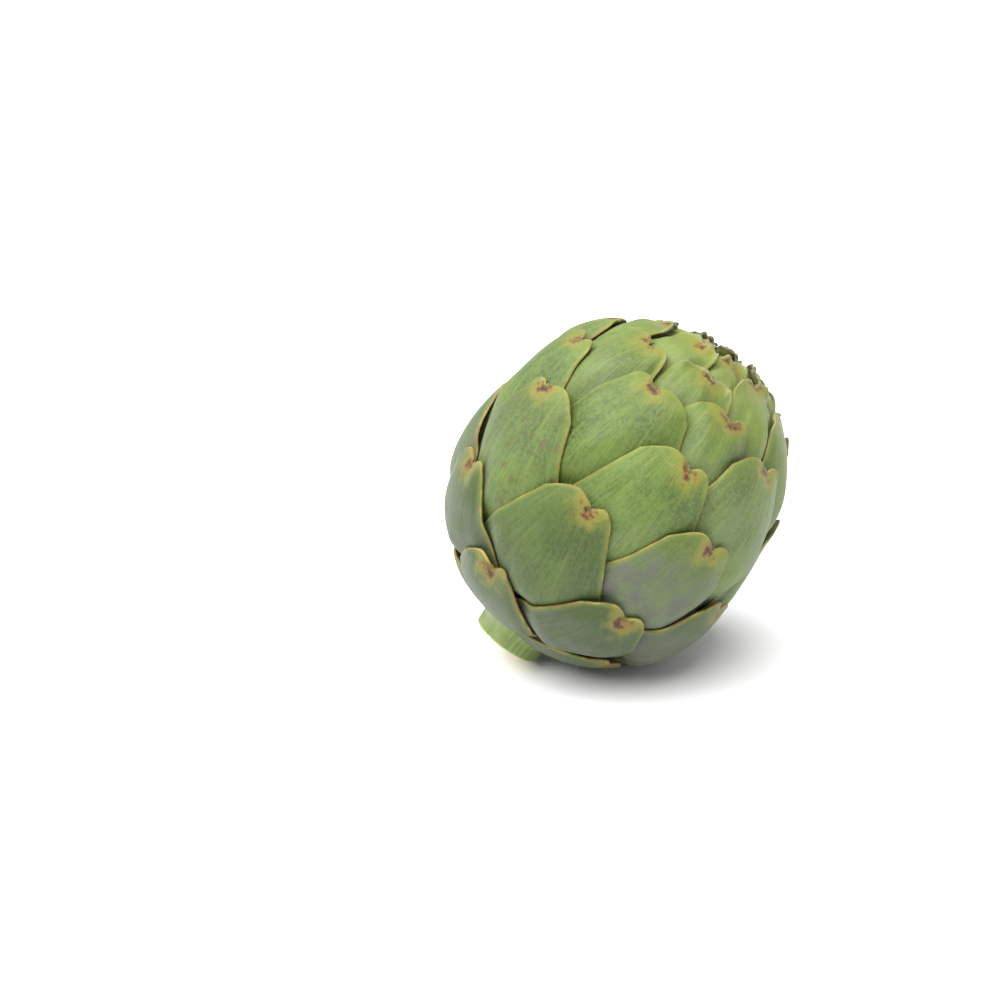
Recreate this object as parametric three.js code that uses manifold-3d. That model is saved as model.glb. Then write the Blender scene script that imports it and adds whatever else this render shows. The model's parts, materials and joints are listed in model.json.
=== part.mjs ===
// A globe artichoke, as picked and trimmed. It lies on its belly, leaning back towards its short cut stem.
//
// Millimetres, +Z up. The surface it rests on is Z = 0, and the origin is below the middle of its bounding
// box. The head is built upright in its own frame, with its axis along Z and its origin at the middle of its
// widest girth, and one group then leans it over.
//
// Every bract is a shell on the same family of nested, squarish ellipsoids. A place on one is an azimuth
// round the axis, a latitude from -90 degrees at the stem to +90 at the crown, and a depth below the outside.
// The bracts follow each other round the axis by the golden angle, from the lowest, outermost one inwards.
// Each claims a layer under its own outline, and every later bract runs below all the layers claimed above
// it, so the bracts stack as closely as real ones and never meet.

import * as THREE from "three";
import { mergeVertices } from "three/addons/utils/BufferGeometryUtils.js";
import Module from "manifold-3d";

const wasm = await Module();
wasm.setup();

const { degToRad, lerp, clamp, smoothstep, euclideanModulo } = THREE.MathUtils;

// The head.
const GIRTH_RADIUS = 48; // at the widest girth
const CROWN_HEIGHT = 51.5; // from the widest girth up to the crown
const BASE_DEPTH = 50.5; // from the widest girth down to the base
const SQUARENESS = 2.3; // 2 would be an ellipse

// The bracts' order round the axis.
const BRACTS = 45;
const FRONT_BRACT = 20; // the bract that faces the front, counted from 0 at the base
const GOLDEN_ANGLE = 137.508;

// The layers.
const LAYER = 2.8; // claimed by an outer bract
const CROWN_LAYER = 1.5; // claimed by a crown bract
const CLEARANCE = 1.1; // left free inside each layer
const EDGE_THICKNESS = 0.8;
const LEAST_THICKNESS = 0.4;
const SOFT_INSIDE = 5; // a layer thins from here inside the bract's outline...
const SOFT_OUTSIDE = 14; // ...to nothing this far outside it
const CROWN_TIP_SOFTNESS = 0.4; // the share of those two distances that is left at a crown bract's tip
const LIFTED_LENGTH = 13; // of the tip that stands away from the head
const BRACT_COLUMNS = 8;
const BRACT_ROWS = 8;

// The outline that all bracts share.
const NARROWING_DOWN = 34; // length from the widest place down to the base's width
const NOTCH_SPREAD = 0.22; // of the notch, as a share of half the top's width
const LONG_LOBE = { drop: 6, power: 3 }; // how far its shoulder drops from the top, and how suddenly
const SHORT_LOBE = { drop: 3.5, power: 8 };

// Bracts that grew a little out of turn, counted from the front bract: their turn round the axis in degrees,
// how much lower their tip is, the notch's distance from the bract's middle, and how far the tip stands away
// from the head.
const OWN_WAYS = {
  "-13": { turn: 3, lower: -1 },
  "-10": { turn: -8, lower: -3 },
  "-8": { lower: -2, notchAside: 3 },
  "-5": { turn: -7, notchAside: 3 },
  "-3": { turn: -13, lower: -1, notchAside: -5 },
  "-2": { turn: 4, lift: 2 },
  0: { lower: 1, notchAside: 3 },
  2: { turn: 4, lower: -2 },
  3: { turn: -14, lower: -2, notchAside: 3 },
  5: { turn: 1, lower: 1, notchAside: -2.5 },
  6: { turn: -4, lower: -1, lift: 3.5 },
  7: { turn: 8 },
  8: { turn: -11, lower: 2 },
  10: { turn: 9, lower: 2 },
  13: { turn: 2, lower: 3 },
};

// Where the head swells (above 0) or is pressed in (below 0): azimuth and latitude in degrees, height, and the
// degrees over which it fades.
const SWELLS = [
  { azimuth: -16, latitude: 10, height: -3, spread: 28 },
  { azimuth: -7, latitude: 42, height: -2.5, spread: 14 },
  { azimuth: 158, latitude: 18, height: -3.5, spread: 13 },
  { azimuth: 8, latitude: 65, height: 1.2, spread: 24 },
];
const SWELL_DEPTH = 25; // how far down the swells reach

// The pose, leaning on the surface.
const LEAN = 53.8; // the axis above the surface
const HEADING = 7.6; // the axis's way round, from +X towards +Y
const SPIN = -94.4; // the front bract's azimuth
const PRESSED = 0.7; // how far the belly is flattened where it rests

// The heart and the stem, as radius and height.
const STEM_RADIUS = 10.5;
const STEM_END = -55.3;
const HEART_TOP = -22.5;
const HEART_PROFILE = [
  [STEM_RADIUS, STEM_END],
  [STEM_RADIUS + 0.3, -51],
  [13, -47.5],
  [18, -42],
  [22.5, -35],
  [24.5, -28.5],
  [23, -24.5],
  [16, -23],
  [0, HEART_TOP],
];
const BASE_GAP = 0.6; // from a bract's base to the heart
const ROUND_SIDES = 32;

// What the bracts close over, as radius and height: two shells of the innermost bracts, which are joined,
// and the choke's hairs on the heart. Each shell is open below, and its outline runs up its inner side.
const BUD_BOTTOM = -22;
const PALE_BUD_INNER = [
  [17.2, BUD_BOTTOM],
  [21.5, -6],
  [22, 8],
  [17, 24],
  [8, 34],
  [0, 37],
];
const PALE_BUD_OUTER = [
  [18.6, BUD_BOTTOM],
  [25.2, -6],
  [28, 10],
  [24.5, 28],
  [15, 40.5],
  [7, 46.5],
  [0, 49.5],
];
const PURPLE_BUD_INNER = [
  [13.8, BUD_BOTTOM],
  [16.5, -6],
  [14, 12],
  [0, 25],
];
const PURPLE_BUD_OUTER = [
  [16.8, BUD_BOTTOM],
  [20.5, -6],
  [19.5, 10],
  [11, 25],
  [0, 33],
];
const CHOKE_OUTLINE = [
  [13, BUD_BOTTOM],
  [14.5, -12],
  [9, -3],
  [0, 1],
];

const COLOURS = {
  lowBract: 0x6f8566,
  bract: 0x7f9c55,
  crownBract: 0x8aa25a,
  heart: 0xb9c68e,
  choke: 0xeee8d2,
  paleBud: 0xe3cf7c,
  purpleBud: 0x8a3f63,
};

// Radius and height on the nested surface at a depth.
function onMeridian(latitude, depth) {
  const rise = Math.sin(latitude);
  const reach = rise > 0 ? CROWN_HEIGHT : BASE_DEPTH;
  const girth = (1 - Math.abs(rise) ** SQUARENESS) ** (1 / SQUARENESS);
  return new THREE.Vector2(
    (GIRTH_RADIUS - depth) * girth,
    (reach - depth) * rise,
  );
}

// How far the head swells at a place, in millimetres.
function swellAt(azimuth, latitude) {
  return SWELLS.reduce((sum, swell) => {
    const middle = degToRad(swell.latitude);
    const turn = azimuth - degToRad(swell.azimuth);
    const cosine =
      Math.sin(latitude) * Math.sin(middle) +
      Math.cos(latitude) * Math.cos(middle) * Math.cos(turn);
    const away = Math.acos(clamp(cosine, -1, 1)) / degToRad(swell.spread);
    return sum + swell.height * Math.exp(-(away ** 2));
  }, 0);
}

function onHead(azimuth, latitude, depth) {
  const swell = swellAt(azimuth, latitude) * Math.max(0, 1 - depth / SWELL_DEPTH);
  const { x: radius, y: height } = onMeridian(latitude, depth - swell);
  return new THREE.Vector3(
    radius * Math.cos(azimuth),
    radius * Math.sin(azimuth),
    height,
  );
}

// Lengths along the outside from the crown's middle down to the base, at every half degree of latitude.
const MERIDIAN_STEPS = 360;
const MERIDIAN_STEP = Math.PI / MERIDIAN_STEPS;
const meridianLengths = [0];
for (let i = 1; i <= MERIDIAN_STEPS; i++) {
  const upper = onMeridian(Math.PI / 2 - (i - 1) * MERIDIAN_STEP, 0);
  const lower = onMeridian(Math.PI / 2 - i * MERIDIAN_STEP, 0);
  meridianLengths.push(meridianLengths[i - 1] + upper.distanceTo(lower));
}

function lengthAt(latitude) {
  const steps = (Math.PI / 2 - latitude) / MERIDIAN_STEP;
  const i = clamp(Math.floor(steps), 0, MERIDIAN_STEPS - 1);
  return lerp(meridianLengths[i], meridianLengths[i + 1], steps - i);
}

function latitudeAt(length) {
  const found = meridianLengths.findIndex((reached) => reached > length);
  const i = found < 0 ? MERIDIAN_STEPS : Math.max(found, 1);
  const step = meridianLengths[i] - meridianLengths[i - 1];
  const steps = i - 1 + (length - meridianLengths[i - 1]) / step;
  return Math.PI / 2 - steps * MERIDIAN_STEP;
}

// A bract's radius round the axis, kept from vanishing at the crown, where a step across it would be a turn.
const LEAST_TURNING_RADIUS = 6;
const turningRadius = (latitude) =>
  Math.max(onMeridian(latitude, 0).x, LEAST_TURNING_RADIUS);

// How far a bract's tip stands from the crown's middle, in degrees of latitude.
function tipColatitude(n) {
  const closingFrom = 16;
  const outer = (m) => 55.4 - 3.62 * m + 0.055 * m * m;
  const closing = Math.exp(-0.16 * Math.max(0, n - closingFrom));
  return outer(Math.min(n, closingFrom)) * closing;
}

// One bract's place, size and outline. Bracts get smaller towards the base and narrower towards the crown.
function describeBract(index) {
  const n = index - FRONT_BRACT;
  const inCrown = smoothstep(n, 6, 24);
  const low = 1 - smoothstep(n, -20, -8);
  const {
    turn = 0,
    lower = 0,
    lift = 1 - 0.7 * low,
    notchAside = 2 * (1 - inCrown),
  } = OWN_WAYS[n] ?? {};
  const tip = degToRad(90 - tipColatitude(n));
  const notchAzimuth = degToRad(SPIN + turn + GOLDEN_ANGLE * n);
  return {
    index,
    inCrown,
    low,
    lift,
    tipLength: lengthAt(tip) + lower,
    azimuth: notchAzimuth - notchAside / turningRadius(tip),
    notchAside,
    notchDepth: lerp(2.6, 1, inCrown),
    topWidth: lerp(8.8, 5, inCrown) - low,
    widest: lerp(28, 13, inCrown) - 5 * low,
    widestBelow: lerp(40, 28, inCrown) - 12 * low, // length from the tip down to the widest place
    baseWidth: lerp(13, 7, inCrown),
    layer: lerp(LAYER, CROWN_LAYER, inCrown),
    tipSoftness: lerp(1, CROWN_TIP_SOFTNESS, smoothstep(n, -2, 14)),
  };
}

const bracts = Array.from({ length: BRACTS }, (_, i) => describeBract(i));

// Half the bract's width at a length below its tip.
function halfWidth(b, below) {
  const narrowingUp = clamp(1 - below / b.widestBelow, 0, 1) ** 1.12;
  const narrowingDown = clamp((below - b.widestBelow) / NARROWING_DOWN, 0, 1) ** 1.6;
  return (
    b.widest -
    (b.widest - b.topWidth) * narrowingUp -
    (b.widest - b.baseWidth) * narrowingDown
  );
}

// The top edge's length below the tip at a place across it, from -1 to 1: two lobes either side of a notch,
// of which the one beside the notch is short and square.
function topEdge(b, across) {
  const fromNotch = (across - b.notchAside / b.topWidth) / NOTCH_SPREAD;
  const isShort = b.notchAside < 0 ? across < 0 : across > 0;
  const { drop, power } = isShort ? SHORT_LOBE : LONG_LOBE;
  return b.notchDepth * Math.exp(-(fromNotch ** 2)) + drop * Math.abs(across) ** power;
}

// How much of its layer a bract claims at a place, from 0 outside its outline to 1 well inside.
function claim(b, azimuth, latitude) {
  const turn = euclideanModulo(azimuth - b.azimuth + Math.PI, 2 * Math.PI) - Math.PI;
  const aside = turn * onMeridian(latitude, 0).x;
  const below = lengthAt(latitude) - b.tipLength;
  const insideSide = halfWidth(b, below) - Math.abs(aside);
  const insideTop = below - topEdge(b, clamp(aside / b.topWidth, -1, 1));
  const softness = lerp(b.tipSoftness, 1, smoothstep(below, 5, 30));
  const fade = (inside) =>
    smoothstep(inside, -SOFT_OUTSIDE * softness, SOFT_INSIDE * softness);
  return fade(insideSide) * fade(insideTop);
}

// The depth of the layers over a bract at a place, and how bare it is of them, from 0 to 1.
function coverOver(b, azimuth, latitude) {
  let depth = 0;
  let bare = 1;
  for (const outer of bracts.slice(0, b.index)) {
    const share = claim(outer, azimuth, latitude);
    depth += outer.layer * share;
    bare *= 1 - share;
  }
  return { depth, bare };
}

// The outer and the inner point of a bract at a place across it, from -1 to 1, at a length from the crown.
function bractPoints(b, across, length, fromEnd) {
  const below = length - b.tipLength;
  const width = halfWidth(b, below);
  const latitude = latitudeAt(length);
  const azimuth = b.azimuth + (across * width) / turningRadius(latitude);
  const { depth, bare } = coverOver(b, azimuth, latitude);
  const curl = clamp(1 - below / LIFTED_LENGTH, 0, 1) ** 2;
  const outside = depth - b.lift * curl * bare;
  const room = b.layer * claim(b, azimuth, latitude) - CLEARANCE;
  const fromEdge = Math.min((1 - Math.abs(across)) * width, fromEnd);
  const thickness = Math.min(room, EDGE_THICKNESS + 0.2 * fromEdge);
  return {
    outside: onHead(azimuth, latitude, outside),
    inside: onHead(azimuth, latitude, outside + Math.max(LEAST_THICKNESS, thickness)),
  };
}

function heartRadiusAt(height) {
  const above = HEART_PROFILE.findIndex(([, z]) => z >= height);
  if (above < 0) return 0;
  if (above === 0) return STEM_RADIUS;
  const [lowerRadius, lowerHeight] = HEART_PROFILE[above - 1];
  const [upperRadius, upperHeight] = HEART_PROFILE[above];
  const share = (height - lowerHeight) / (upperHeight - lowerHeight);
  return lerp(lowerRadius, upperRadius, share);
}

function isClearOfHeart(point) {
  const radius = Math.hypot(point.x, point.y) - BASE_GAP;
  return [-BASE_GAP, 0, BASE_GAP].every(
    (step) => radius > heartRadiusAt(point.z + step),
  );
}

// The length from the crown at which a bract's base starts: as far down as its whole width clears the heart.
function baseLengthOf(b) {
  const isClear = (length) =>
    [-1, -0.5, 0, 0.5, 1].every((across) =>
      isClearOfHeart(bractPoints(b, across, length, Infinity).inside),
    );
  const lowest = meridianLengths.at(-1) - 8;
  let length = b.tipLength + 12;
  while (length < lowest && isClear(length + 1)) length += 1;
  return length;
}

// A closed shell from two grids of points, the outer one in rows from the base up and columns to the right.
function shellBetween(outside, inside) {
  const rows = outside.length;
  const columns = outside[0].length;
  const faces = [];
  const addQuad = (a, b, c, d) => faces.push(a, b, c, a, c, d);
  const out = (row, column) => row * columns + column;
  const into = (row, column) => (rows + row) * columns + column;
  for (let r = 0; r < rows - 1; r++) {
    for (let c = 0; c < columns - 1; c++) {
      addQuad(out(r, c), out(r, c + 1), out(r + 1, c + 1), out(r + 1, c));
      addQuad(into(r, c), into(r + 1, c), into(r + 1, c + 1), into(r, c + 1));
    }
    const c = columns - 1;
    addQuad(out(r, 0), out(r + 1, 0), into(r + 1, 0), into(r, 0));
    addQuad(out(r, c), into(r, c), into(r + 1, c), out(r + 1, c));
  }
  for (let c = 0; c < columns - 1; c++) {
    const r = rows - 1;
    addQuad(out(0, c), into(0, c), into(0, c + 1), out(0, c + 1));
    addQuad(out(r, c), out(r, c + 1), into(r, c + 1), into(r, c));
  }
  const points = [...outside.flat(), ...inside.flat()];
  return new THREE.BufferGeometry().setFromPoints(points).setIndex(faces);
}

function bractGeometry(b) {
  const baseLength = baseLengthOf(b);
  const outside = [];
  const inside = [];
  for (let r = 0; r <= BRACT_ROWS; r++) {
    const share = (1 - r / BRACT_ROWS) ** 1.4; // the rows are closer together towards the tip
    const row = Array.from({ length: BRACT_COLUMNS + 1 }, (_, c) => {
      const across = (2 * c) / BRACT_COLUMNS - 1;
      const topLength = b.tipLength + topEdge(b, across);
      const length = lerp(topLength, baseLength, share);
      const fromEnd = Math.min(length - topLength, baseLength - length);
      return bractPoints(b, across, length, fromEnd);
    });
    outside.push(row.map((points) => points.outside));
    inside.push(row.map((points) => points.inside));
  }
  return shellBetween(outside, inside);
}

function latheGeometry(profile) {
  const points = profile.map(([radius, height]) => new THREE.Vector2(radius, height));
  return new THREE.LatheGeometry(points, ROUND_SIDES).rotateX(Math.PI / 2);
}

// A smooth line through an outline's corners.
function rounded(outline) {
  const corners = outline.map(([radius, height]) => new THREE.Vector2(radius, height));
  return new THREE.SplineCurve(corners).getPoints(10).map(({ x, y }) => [Math.max(x, 0), y]);
}

function solidOf(geometry) {
  const bare = geometry.clone();
  bare.deleteAttribute("normal");
  bare.deleteAttribute("uv");
  const { attributes, index } = mergeVertices(bare);
  return new wasm.Manifold(
    new wasm.Mesh({
      numProp: 3,
      vertProperties: attributes.position.array,
      triVerts: new Uint32Array(index.array),
    }),
  );
}

function geometryOf(solid) {
  const { vertProperties, triVerts } = solid.getMesh();
  return new THREE.BufferGeometry()
    .setAttribute("position", new THREE.BufferAttribute(vertProperties, 3))
    .setIndex(new THREE.BufferAttribute(triVerts, 1));
}

function bractColour({ low, inCrown }) {
  return new THREE.Color(COLOURS.bract)
    .lerp(new THREE.Color(COLOURS.lowBract), low)
    .lerp(new THREE.Color(COLOURS.crownBract), inCrown);
}

const head = new THREE.Group();

function addPiece(name, geometry, color, roughness) {
  const mesh = new THREE.Mesh(
    geometry,
    new THREE.MeshStandardMaterial({ color, roughness, metalness: 0 }),
  );
  mesh.name = name;
  head.add(mesh);
}

addPiece(
  "heart_and_stem",
  latheGeometry([[0, STEM_END], ...HEART_PROFILE]),
  COLOURS.heart,
  0.65,
);
addPiece(
  "choke",
  latheGeometry([[0, BUD_BOTTOM], ...rounded(CHOKE_OUTLINE)]),
  COLOURS.choke,
  0.95,
);
addPiece(
  "inner_bud_purple",
  latheGeometry([...rounded(PURPLE_BUD_INNER).reverse(), ...rounded(PURPLE_BUD_OUTER)]),
  COLOURS.purpleBud,
  0.6,
);
addPiece(
  "inner_bud_pale",
  latheGeometry([...rounded(PALE_BUD_INNER).reverse(), ...rounded(PALE_BUD_OUTER)]),
  COLOURS.paleBud,
  0.6,
);
for (const b of bracts) {
  const name = `bract_${String(b.index + 1).padStart(2, "0")}`;
  addPiece(name, bractGeometry(b), bractColour(b), 0.55);
}

// Lean the head over, sink it by what is flattened and stand the box's middle over the origin.
head.rotation.set(0, degToRad(90 - LEAN), degToRad(HEADING), "ZYX");
const leaning = new THREE.Box3().setFromObject(head, true);
const middle = leaning.getCenter(new THREE.Vector3());
head.position.set(-middle.x, -middle.y, -leaning.min.z - PRESSED);
head.updateMatrixWorld(true);

// Flatten the belly: cut away what would be below the surface.
const belowSurface = new THREE.BoxGeometry(200, 200, 40)
  .translate(0, 0, -20)
  .applyMatrix4(head.matrixWorld.clone().invert());
for (const piece of head.children) {
  const lowest = new THREE.Box3().setFromObject(piece, true).min.z;
  if (lowest < 0) {
    piece.geometry = geometryOf(
      solidOf(piece.geometry).subtract(solidOf(belowSurface)),
    );
  }
}

const artichoke = new THREE.Group();
artichoke.add(head);

export default artichoke;
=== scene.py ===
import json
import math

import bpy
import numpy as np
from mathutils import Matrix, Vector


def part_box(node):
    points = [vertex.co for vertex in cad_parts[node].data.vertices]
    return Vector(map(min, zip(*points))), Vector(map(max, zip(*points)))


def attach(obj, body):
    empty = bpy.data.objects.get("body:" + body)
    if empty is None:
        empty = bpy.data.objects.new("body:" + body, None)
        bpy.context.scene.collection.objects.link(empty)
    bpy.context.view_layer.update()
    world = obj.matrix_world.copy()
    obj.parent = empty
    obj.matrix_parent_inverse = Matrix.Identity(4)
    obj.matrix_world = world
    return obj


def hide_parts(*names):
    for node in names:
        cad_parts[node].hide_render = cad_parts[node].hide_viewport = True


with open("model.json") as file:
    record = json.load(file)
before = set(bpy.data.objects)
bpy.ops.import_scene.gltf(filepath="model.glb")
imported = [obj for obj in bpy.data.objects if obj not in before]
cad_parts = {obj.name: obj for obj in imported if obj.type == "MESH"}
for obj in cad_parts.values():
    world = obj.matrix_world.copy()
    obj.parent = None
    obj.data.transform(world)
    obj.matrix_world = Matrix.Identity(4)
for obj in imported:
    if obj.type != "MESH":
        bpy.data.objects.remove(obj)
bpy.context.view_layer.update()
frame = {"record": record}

# A globe artichoke that lies on its belly and leans back towards its cut stem: the fine surface on the frame.
#
# The head is worked out upright in its own frame, in millimetres, with its axis along Z and its origin at the
# middle of its widest girth, as the frame's own head is. Every mesh is then leaned over and scaled to metres.
# A place on the head is an azimuth round the axis, a latitude, and a depth below the outside. Widths across a
# bract are half widths, measured from its middle.

MM = 0.001

# The head.
GIRTH_RADIUS = 48
CROWN_HEIGHT = 51.5
BASE_DEPTH = 50.5
SQUARENESS = 2.3  # 2 would be an ellipse
LEAN = 53.8  # degrees from the surface up to the axis
HEADING = 7.6  # the axis's way round, in degrees from +X towards +Y

# The bracts' order round the axis, counted from the front bract. The last ones close the crown.
LOWEST = -20
HIGHEST = 24
CLOSING = 40
GOLDEN_ANGLE = 137.508
SPIN = -94.4  # the front bract's azimuth

# How far the tips stand from the crown's middle, in degrees: the front bract's, how much nearer the next one
# is, how that step changes, and from which bract on the tips draw together, and how fast.
FRONT_TIP = 55.4
TIP_STEP = 3.62
TIP_STEP_CHANGE = 0.055
CLOSING_FROM = 16
CLOSING_RATE = 0.16

# The bracts' numbers between which one kind turns into the next.
BASE_TO_MIDDLE = -20, -8
# The lowest bracts carry painted shade as well as grey-purple mottling, and both fade out over these numbers.
SHADED_AND_MOTTLED_TO_PLAIN = -14, 0
SOFT_TO_CRISP_TIP = -2, 14
MIDDLE_TO_CROWN = 6, 24
FRESH_TO_DRIED = 8, 14

# Sizes of an outer bract and of a crown bract.
NOTCH_DEPTHS = 2.9, 1
TOP_WIDTHS = 8.8, 5
WIDEST_WIDTHS = 28, 13
WIDEST_BELOW = 40, 28  # length from the tip down to the widest place
BASE_WIDTHS = 13, 7
LAYERS = 2.8, 1.5
TIP_SOFTNESSES = 1, 0.4  # the share of the distances over which a layer fades, at the tip
SPINE_LENGTHS = 2.2, 1.4

# How much smaller the lowest bracts are.
LOW_TOP_NARROWER = 1
LOW_NARROWER = 5
LOW_WIDEST_HIGHER = 12
LOW_LIFT_LESS = 0.7

# The layers.
CLOSING_LAYER = 0.9
GAP = 0.3  # left free inside each layer
EDGE_THICKNESS = 0.75
RIM_THICKNESS = 0.3
SOFT_INSIDE = 3  # a layer thins from here inside the bract's outline...
SOFT_ASIDE = 9  # ...to nothing this far beside it...
SOFT_AHEAD = 15  # ...and this far ahead of its top
SOFT_TIP_REACH = 5, 30  # the lengths below the tip between which the tip's own softness ends

# The outline that all bracts share.
NARROWING_UP_POWER = 1.12
NARROWING_DOWN = 34  # length from the widest place down to the base's width
NARROWING_DOWN_POWER = 1.6
NOTCH_ASIDE = 2
NOTCH_SPREAD = 0.3  # of the notch, as a share of half the top's width
NOTCH_POWER = 1.25
LONG_LOBE = 6, 3  # how far its shoulder drops from the top, and the power it drops with
SHORT_LOBE = 3.5, 8
DRIED_ROUNDING = 2.5
LEAST_TURNING_RADIUS = 6  # keeps a step across the crown from being a turn round the axis
LEAST_BRACT_LENGTH = 12
BASE_FROM_POLE = 6
BASE_STEP = 0.5

# How the tip stands away from the head.
TIP_LIFT = 1
LIFTED_LENGTH = 13

# What differs by chance, from the least to the most. The first three are for dried tips.
DRIED_LIFTS = 0.4, 2.2
DRIED_LIFTED_LENGTHS = 6, 9
DRIED_ROLLS = 0.4, 1.5
FRECKLES = 0, 0.25
# grey: partly waxy bloom and partly painted sheen
BLOOMS_AND_SHEEN = 0.3, 1
SPINE_SHARES = 0.7, 1.2
PATTERN_SEEDS = 0, 100

# Where the random numbers start.
BRACT_SEED = 100
PURPLE_SEED = 500
CHOKE_SEED = 900

# Bracts that grew a little out of turn: their turn round the axis in degrees, how much lower the tip is, the
# notch's distance from the middle, how far the tip stands away, and how freckled the bract is and how much
# grey it has, from 0 to 1. The grey is partly waxy bloom and partly painted sheen, the grey that the head
# shows where it turns away from the camera.
OWN_WAYS = {
    -13: dict(turn=3, lower=-1, bloom_and_sheen=0.7),
    -10: dict(turn=-8, lower=-3, bloom_and_sheen=1),
    -8: dict(lower=-2, notch_aside=3, bloom_and_sheen=0.1),
    -5: dict(turn=-7, notch_aside=3, bloom_and_sheen=1),
    -3: dict(turn=-13, lower=-1, notch_aside=-5, freckles=1, bloom_and_sheen=0.3),
    -2: dict(turn=4, lift=3.5),
    0: dict(lower=1, notch_aside=3, bloom_and_sheen=0.3),
    2: dict(turn=4, lower=-2, bloom_and_sheen=0.3),
    3: dict(turn=-14, lower=-2, notch_aside=3, bloom_and_sheen=1),
    5: dict(turn=1, lower=1, notch_aside=-2.5, bloom_and_sheen=0.08),
    6: dict(turn=-4, lower=-1, lift=3.5),
    7: dict(turn=8),
    8: dict(turn=-11, lower=2, bloom_and_sheen=0.7),
    10: dict(turn=9, lower=2, bloom_and_sheen=0.5),
    13: dict(turn=2, lower=3, bloom_and_sheen=0.9),
}

# Where the head swells (above 0) or is pressed in (below 0): azimuth and latitude in degrees, height, and the
# degrees over which it fades.
SWELLS = [(-16, 10, -3, 28), (-7, 42, -2.5, 14), (158, 18, -3.5, 13), (8, 65, 1.2, 24)]
SWELL_DEPTH = 25  # how far down the swells reach

# The heart and the stem, as radius and height.
STEM_RADIUS = 10.5
STEM_END = -55.3
HEART_TOP = -22.5
HEART_PROFILE = [
    (STEM_RADIUS, STEM_END),
    (STEM_RADIUS + 0.3, -51),
    (13, -47.5),
    (18, -42),
    (22.5, -35),
    (24.5, -28.5),
    (23, -24.5),
    (16, -23),
    (0, HEART_TOP),
]

# What the bracts close over, as radius and height: the innermost purple bracts, and the choke's hairs.
BUD_BOTTOM = -22
PURPLE_BUD_INNER = [(13.8, BUD_BOTTOM), (16.5, -6), (14, 12), (0, 25)]
PURPLE_BUD_OUTER = [(16.8, BUD_BOTTOM), (20.5, -6), (19.5, 10), (11, 25), (0, 33)]
WHORL_TIPS = 17, 24, 30.5
WHORL_COUNT = 9
WHORL_SPREAD = 0.33
CHOKE_TOP = [(0, 1), (9, -3), (13, -14)]
HAIRY_RADIUS = 12.6
HAIR_ROOT = -22.7
HAIR_COUNT = 900
HAIR_RADIUS = 0.17

# How fine the meshes are.
BRACT_COLUMNS = 44
BRACT_ROWS = 60
MERIDIAN_POINTS = 721
SPINE_SIDES = 8
SPINE_RINGS = 6
HEART_SIDES = 128
HEART_RINGS = 60
PURPLE_COLUMNS = 12
PURPLE_ROWS = 28
HAIR_SIDES = 3
HAIR_RINGS = 6

# The camera, in degrees and metres. It looks from the front, at a point beside the head's middle.
CAMERA_PITCH = 20
CAMERA_DISTANCE = 0.694
CAMERA_LENS = 85
AIM_LEFT = 0.0342
AIM_DOWN = 0.0015

# The studio.
WORLD_STRENGTH = 0.58
FLOOR_GREY = 0.78
FLOOR_REACH = 6


def lerp(a, b, share):
    return a + (b - a) * share


def smoothstep(x, low, high):
    share = np.clip((x - low) / (high - low), 0, 1)
    return share * share * (3 - 2 * share)


def round_turn(sides):
    return np.arange(sides) * 2 * math.pi / sides


# --- Places on the head -----------------------------------------------------------------------------


def on_meridian(latitude, depth):
    """Radius and height at a latitude and a depth."""
    rise = np.sin(latitude)
    reach = np.where(rise > 0, CROWN_HEIGHT, BASE_DEPTH)
    girth = np.clip(1 - np.abs(rise) ** SQUARENESS, 0, 1) ** (1 / SQUARENESS)
    return (GIRTH_RADIUS - depth) * girth, (reach - depth) * rise


def swell_at(azimuth, latitude):
    """How far the head swells at a place, in millimetres."""
    total = 0.0
    for middle_azimuth, middle_latitude, height, spread in SWELLS:
        middle = math.radians(middle_latitude)
        turn = azimuth - math.radians(middle_azimuth)
        level = np.cos(latitude) * math.cos(middle) * np.cos(turn)
        away = np.arccos(np.clip(np.sin(latitude) * math.sin(middle) + level, -1, 1))
        total = total + height * np.exp(-((away / math.radians(spread)) ** 2))
    return total


def on_head(azimuth, latitude, depth):
    swell = swell_at(azimuth, latitude) * np.maximum(0, 1 - depth / SWELL_DEPTH)
    radius, height = on_meridian(latitude, depth - swell)
    return np.stack([radius * np.cos(azimuth), radius * np.sin(azimuth), height], axis=-1)


# Lengths along the outside from the crown's middle down, and the latitudes that they reach.
LATITUDES = np.linspace(math.pi / 2, -math.pi / 2, MERIDIAN_POINTS)
_steps = np.diff(np.stack(on_meridian(LATITUDES, 0), axis=-1), axis=0)
LENGTHS = np.concatenate([[0], np.cumsum(np.linalg.norm(_steps, axis=1))])


def length_at(latitude):
    return np.interp(-latitude, -LATITUDES, LENGTHS)


def latitude_at(length):
    return np.interp(length, LENGTHS, LATITUDES)


def turning_radius(latitude):
    return np.maximum(on_meridian(latitude, 0)[0], LEAST_TURNING_RADIUS)


# --- Bracts -----------------------------------------------------------------------------------------


def tip_colatitude(n):
    """How far a bract's tip stands from the crown's middle, in degrees of latitude."""
    m = min(n, CLOSING_FROM)
    outer = FRONT_TIP - TIP_STEP * m + TIP_STEP_CHANGE * m * m
    return outer * math.exp(-CLOSING_RATE * max(0, n - CLOSING_FROM))


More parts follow.
